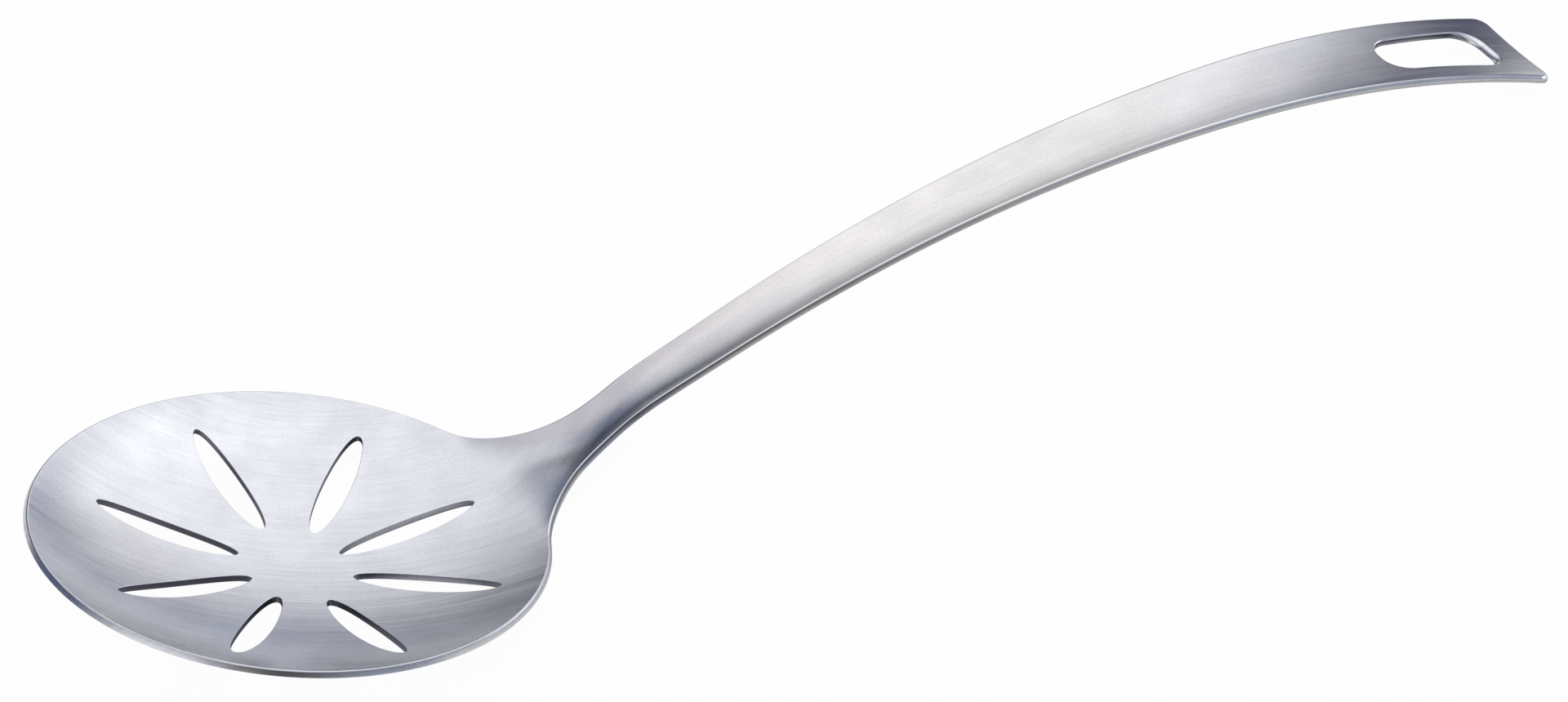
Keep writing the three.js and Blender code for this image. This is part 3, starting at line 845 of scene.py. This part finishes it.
def near_panel(name, middle, full, edge, radiance, colour):
    """A lit disc with its middle there, facing the skimmer: full inside one radius, and faded out by a
    smooth step at the other."""
    corners = polar(edge, np.arange(PANEL_CORNERS) * 2 * math.pi / PANEL_CORNERS)
    mesh = bpy.data.meshes.new(name)
    mesh.from_pydata(np.pad(corners, ((0, 0), (0, 1))).tolist(), [], [list(range(PANEL_CORNERS))])
    panel = bpy.data.objects.new(name, mesh)
    panel.matrix_world = Matrix.Translation(middle) @ facing(middle.normalized()).to_4x4()
    panel.visible_camera = False
    bpy.context.scene.collection.objects.link(panel)
    cloth = bpy.data.materials.new(name + "_cloth")
    cloth.use_nodes = True
    tree = cloth.node_tree
    tree.nodes.clear()
    spot = add(tree, "ShaderNodeTexCoord").outputs["Object"]
    out_from_middle = add(tree, "ShaderNodeVectorMath", [(0, spot)], operation="LENGTH").outputs["Value"]
    fade = add(tree, "ShaderNodeMapRange",
               [("Value", out_from_middle), ("From Min", edge), ("From Max", full), ("To Max", radiance)],
               interpolation_type="SMOOTHSTEP").outputs["Result"]
    glow = add(tree, "ShaderNodeEmission", [("Color", linear(colour)), ("Strength", fade)])
    clear = add(tree, "ShaderNodeBsdfTransparent")
    lit = add(tree, "ShaderNodeAddShader", [(0, glow.outputs[0]), (1, clear.outputs[0])])
    add(tree, "ShaderNodeOutputMaterial", [("Surface", lit.outputs[0])])
    mesh.materials.append(cloth)


key_middle = ahead(KEY_TURN, KEY_ELEVATION) * KEY_DISTANCE
card_middle = BOWL_MIDDLE + ahead(CARD_TURN, CARD_ELEVATION) * CARD_DISTANCE
near_panel("key_panel", key_middle, KEY_FULL_RADIUS, KEY_EDGE_RADIUS, KEY_RADIANCE, KEY_COLOUR)
near_panel("low_card", card_middle, CARD_FULL_RADIUS, CARD_EDGE_RADIUS, CARD_RADIANCE, CARD_COLOUR)


# Studio light
# A dim bluish dome with soft round panels: a high and a low one on the viewer's left, a broad one on the
# right and a bright low one at the back right. Black flags, with a negative radiance, dim it low behind the
# skimmer and behind the viewer. Angles are in degrees, and turns right of the line of sight.
DOME_RADIANCE = 0.30
DOME_COLOUR = "#bacdff"
DARKEST = 0.03
HIGH_LEFT = dict(turn=-122, elevation=62.8, full=21.7, edge=53, radiance=0.73, colour="#fff6f0")
BROAD_RIGHT = dict(turn=100.3, elevation=29.9, full=43.6, edge=66, radiance=0.31, colour=WHITE)
BACK_RIGHT = dict(turn=61.2, elevation=-1.6, full=20.2, edge=28.2, radiance=1.92, colour="#f1f1ff")
LOW_LEFT = dict(turn=-128, elevation=12, full=10, edge=32, radiance=0.9, colour=WHITE)
RIGHT_FLAG = dict(turn=21, elevation=12, full=7, edge=18, radiance=-0.22, colour="#d4ddfa")
LEFT_FLAG = dict(turn=-15, elevation=9, full=9, edge=25, radiance=-0.22, colour=DOME_COLOUR)
VIEWER_FLAG = dict(turn=178, elevation=14, full=14, edge=38, radiance=-0.3, colour=DOME_COLOUR)

world = bpy.data.worlds.new("studio_dome")
bpy.context.scene.world = world
world.use_nodes = True
tree = world.node_tree
tree.nodes.clear()
way = add(tree, "ShaderNodeTexCoord").outputs["Generated"]
light = add(tree, "ShaderNodeVectorMath", [(0, linear(DOME_COLOUR)[:3]), ("Scale", DOME_RADIANCE)],
            operation="SCALE").outputs["Vector"]


def with_panel(light, turn, elevation, full, edge, radiance, colour):
    """Adds a round panel to the light: full within one angle of its middle, and faded out by a smooth
    step in the angle's cosine at its edge."""
    closeness = add(tree, "ShaderNodeVectorMath", [(0, way), (1, ahead(turn, elevation))],
                    operation="DOT_PRODUCT").outputs["Value"]
    fade = add(tree, "ShaderNodeMapRange",
               [("Value", closeness), ("From Min", math.cos(math.radians(edge))),
                ("From Max", math.cos(math.radians(full))), ("To Max", radiance)],
               interpolation_type="SMOOTHSTEP").outputs["Result"]
    glow = add(tree, "ShaderNodeVectorMath", [(0, linear(colour)[:3]), ("Scale", fade)], operation="SCALE")
    return add(tree, "ShaderNodeVectorMath", [(0, light), (1, glow.outputs["Vector"])],
               operation="ADD").outputs["Vector"]


for panel in (HIGH_LEFT, BROAD_RIGHT, BACK_RIGHT, LOW_LEFT, RIGHT_FLAG, LEFT_FLAG, VIEWER_FLAG):
    light = with_panel(light, **panel)
light = add(tree, "ShaderNodeVectorMath", [(0, light), (1, (DARKEST, DARKEST, DARKEST))],
            operation="MAXIMUM").outputs["Vector"]
seen = add(tree, "ShaderNodeLightPath").outputs["Is Camera Ray"]
light = add(tree, "ShaderNodeMixRGB", [("Fac", seen), (1, light), (2, linear(WHITE))]).outputs[0]
back = add(tree, "ShaderNodeBackground", [("Color", light), ("Strength", 1.0)])
add(tree, "ShaderNodeOutputWorld", [("Surface", back.outputs[0])])
bpy.context.scene.view_settings.view_transform = "Standard"
